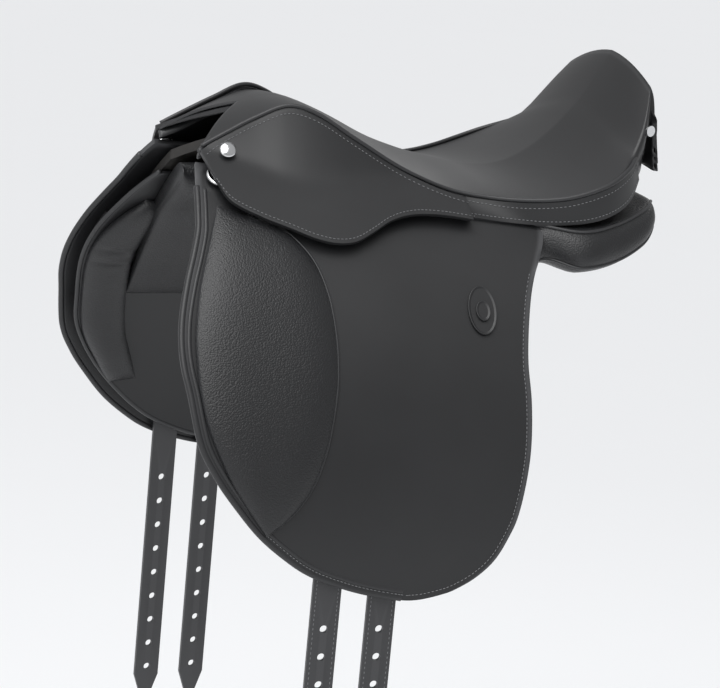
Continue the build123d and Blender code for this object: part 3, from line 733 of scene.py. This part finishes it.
sweatFront = [
    (14, 146), (4, 130), (-6, 112), (-22, 78), (-28, 46), (-24, 5), (-16, -33), (14, -79),
    (62, -123), (110, -145), (150, -152.5),
]
sweatRear = [
    (262, 146), (262, 120), (258, 90), (256, 62), (256, 10), (250, -47), (238, -97), (225, -120),
    (206, -140), (180, -151), (152, -152.6),
]


def makeSweatFlap(label, mirrored):
    def place(u, v):
        a = curveAt(sweatFront, v)
        b = curveAt(sweatRear, v)
        p = a + (b - a) * u
        return sidePoint(p.x, p.y, layers["sweatOuter"])
    bm = gridMesh(60, 80, place)
    obj = finishMesh(bm, label + "SweatFlap", smoothMat, mirrored)
    faceAway(obj, mirrored)
    addSolidify(obj, 3.0)
    addBevel(obj, 0.8)
    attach(obj, "saddle")
    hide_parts(label + "_sweat_flap")
    edge = sweatFront + list(reversed(sweatRear))[1:]
    path, normal = flapPath(edge, 347.5)
    roll = tube(label + "SweatEdge", path, 2.4, smoothMat, mirrored, 260, 10)
    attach(roll, "saddle")


panelInner = 345.4


def ringPoint(x, depth, z):
    p = sidePoint(x, z, panelInner - depth)
    return Vector((x, p.y * 1000, z))


def frontSection(x, fill):
    outside = [ringPoint(x, 0.4, z) for z in (156, 118, 78, 38, 10)]
    inside = [ringPoint(x, depth * fill, z) for depth, z in ((8, 8), (21, 34), (31, 72), (35, 104))]
    return [Vector((x, -38, 157))] + outside + inside + [Vector((x, -38, 157 - 31 * fill))]


def rearSection(x, half, low, top):
    height = top - low
    outside = [(half - 24, 1), (half - 8, 0.86), (half, 0.56), (half, 0.28), (half - 10, 0.06)]
    step = (half - 38 - 38) / 3
    inside = [(half - 28 - i * step, (0, 0.05, 0.16, 0.30)[i]) for i in range(4)]
    corners = [(38, 1)] + outside + inside + [(38, 0.45)]
    return [Vector((x, -y, low + rise * height)) for y, rise in corners]


panelSections = [
    frontSection(24, 0.35), frontSection(30, 0.62), frontSection(60, 0.82), frontSection(120, 0.95),
    frontSection(190, 1.0), frontSection(252, 1.0), rearSection(300, 145, 99, 146),
    rearSection(340, 166, 102, 144), rearSection(378, 158, 108, 150), rearSection(410, 144, 122, 160),
    rearSection(426, 128, 136, 166), rearSection(431, 112, 146, 160),
]


def sectionLoop(points, t):
    # closed smooth loop through a section's corners
    n = len(points)
    f = (t % 1.0) * n
    i = int(floor(f))
    s = f - i
    a, b, c, d = (points[(i + k) % n] for k in (-1, 0, 1, 2))
    return throughFour(a, b, c, d, s)


def panelPlace(u, t):
    k = u * (len(panelSections) - 1)
    i = min(int(floor(k)), len(panelSections) - 2)
    s = k - i
    rows = [panelSections[min(max(i + d, 0), len(panelSections) - 1)] for d in (-1, 0, 1, 2)]
    a, b, c, d = (sectionLoop(r, t) for r in rows)
    p = throughFour(a, b, c, d, s)
    return toRow(*p)


def makePanel(label, mirrored):
    around = 64
    along = 90
    bm = bmesh.new()
    bmesh.ops.create_grid(bm, x_segments=along, y_segments=around, size=0.5)
    for vert in bm.verts:
        vert.co = panelPlace(vert.co.x + 0.5, 0.5 - vert.co.y)
    bmesh.ops.remove_doubles(bm, verts=bm.verts, dist=0.00002)
    bmesh.ops.holes_fill(bm, edges=[e for e in bm.edges if e.is_boundary], sides=0)
    bmesh.ops.recalc_face_normals(bm, faces=bm.faces)
    obj = finishMesh(bm, label + "Panel", pebbleMat, mirrored)
    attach(obj, "saddle")
    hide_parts(label + "_panel")
    for name, place in (("RearSeam", 4.4 / 11), ("TopSeam", 1.6 / 11)):
        path = lambda t, place=place: panelPlace(0.50 + 0.5 * t, place)
        seam = tube(label + "Panel" + name, path, 1.5, smoothMat, mirrored, 90, 8)
        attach(seam, "saddle")


rollFront = [
    (15, 112), (-3, 94), (-18, 70), (-24, 44), (-21, 5), (-13, -35), (9, -72), (24, -92),
]
rollRear = [
    (52, 110), (38, 88), (28, 64), (24, 42), (26, 5), (33, -35), (45, -68), (52, -88),
]


def makeRoll(label, mirrored):
    def place(u, v):
        a = curveAt(rollFront, v)
        b = curveAt(rollRear, v)
        p = a + (b - a) * u
        crown = (1 - abs(2 * u - 1) ** 2.6) ** 0.6 * (1 - abs(2 * v - 1) ** 7)
        crease = 1.6 * max(0, 1 - abs(v - 0.30) * 45) + 1.6 * max(0, 1 - abs(v - 0.36) * 45)
        return sidePoint(p.x, p.y, 345.6 - 15 * crown + crease * crown)
    bm = gridMesh(40, 110, place)
    obj = finishMesh(bm, label + "PanelRoll", pebbleMat, mirrored)
    faceAway(obj, mirrored, inwards=True)
    addSolidify(obj, 1.2)
    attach(obj, "saddle")
    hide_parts(label + "_panel_roll")


print("panels")
for label, mirrored in (("near", False), ("off", True)):
    makeSweatFlap(label, mirrored)
    makePanel(label, mirrored)
    makeRoll(label, mirrored)


strapLook = {"front": 93, "rear": 143, "half": 9.8, "top": 100, "low": -400}


def makeStrapStitches(label, mirrored, which):
    x = strapLook[which]
    for i, offset in enumerate((-strapLook["half"], strapLook["half"])):
        line = x + offset
        ends = [(line, strapLook["top"]), (line, 0), (line, -138), (line, strapLook["low"])]
        path, normal = flapPath(ends, 358.5)
        row = stitchRow(label + which.capitalize() + "StrapStitch" + str(i), path, normal, 540, mirrored)
        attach(row, label + "_" + which + "_strap_body")


print("straps")
for label, mirrored in (("near", False), ("off", True)):
    for which in ("front", "rear"):
        makeStrapStitches(label, mirrored, which)


viewLook = {"azimuth": 22.4, "elevation": 12.4, "roll": 5.4, "distance": 2.565, "lens": 136.6,
            "target": (0, 0, -0.1), "floor": -1.0}


def makeCamera():
    a = radians(viewLook["azimuth"])
    e = radians(viewLook["elevation"])
    roll = radians(viewLook["roll"])
    ahead = Vector((sin(a) * cos(e), cos(a) * cos(e), -sin(e)))
    level = Vector((cos(a), -sin(a), 0))
    upright = Vector((sin(a) * sin(e), cos(a) * sin(e), cos(e)))
    right = level * cos(roll) + upright * sin(roll)
    up = upright * cos(roll) - level * sin(roll)
    data = bpy.data.cameras.new("viewCamera")
    data.lens = viewLook["lens"]
    data.sensor_width = 36
    data.clip_end = 100
    cam = bpy.data.objects.new("viewCamera", data)
    turn = Matrix((right, up, -ahead)).transposed().to_4x4()
    cam.matrix_world = Matrix.Translation(Vector(viewLook["target"]) - ahead * viewLook["distance"]) @ turn
    bpy.context.scene.collection.objects.link(cam)
    bpy.context.scene.camera = cam


lightLook = [
    ("topLight", (-0.7, -0.2, 1.7), 1.2, 11), ("leftLight", (-1.9, -1.3, 0.9), 1.2, 9),
    ("rearLight", (1.4, 1.2, 1.1), 1.0, 4),
]
sunLook = {"from": (-0.5, -0.45, 1.0), "strength": 1.85, "softness": 60, "room": 0.50}


def makeLights():
    for name, place, size, power in lightLook:
        data = bpy.data.lights.new(name, "AREA")
        data.shape = "SQUARE"
        data.size = size
        data.energy = power
        lamp = bpy.data.objects.new(name, data)
        aim = Vector((0, 0, 0)) - Vector(place)
        turn = aim.to_track_quat("-Z", "Y").to_matrix().to_4x4()
        lamp.matrix_world = Matrix.Translation(Vector(place)) @ turn
        bpy.context.scene.collection.objects.link(lamp)
    sun = bpy.data.lights.new("softSun", "SUN")
    sun.energy = sunLook["strength"]
    sun.angle = radians(sunLook["softness"])
    lamp = bpy.data.objects.new("softSun", sun)
    lamp.matrix_world = (-Vector(sunLook["from"])).to_track_quat("-Z", "Y").to_matrix().to_4x4()
    bpy.context.scene.collection.objects.link(lamp)
    world = bpy.data.worlds.new("softRoom")
    world.use_nodes = True
    world.node_tree.nodes["Background"].inputs[0].default_value = (0.90, 0.905, 0.915, 1)
    world.node_tree.nodes["Background"].inputs[1].default_value = sunLook["room"]
    bpy.context.scene.world = world


def makeFloor():
    bm = bmesh.new()
    bmesh.ops.create_grid(bm, x_segments=4, y_segments=4, size=40)
    bmesh.ops.translate(bm, vec=(0, 0, viewLook["floor"]), verts=bm.verts)
    paint = Finish("paleFloor", 0.9, specular=0.1)
    paint.colour(paint.mixColour(paint.noise(1.5), (0.872, 0.880, 0.893, 1), (0.880, 0.888, 0.901, 1)))
    finishMesh(bm, "paleFloor", paint.mat, smooth=False)


print("camera, light, floor")
makeCamera()
makeLights()
makeFloor()
bpy.context.scene.view_settings.view_transform = "Standard"
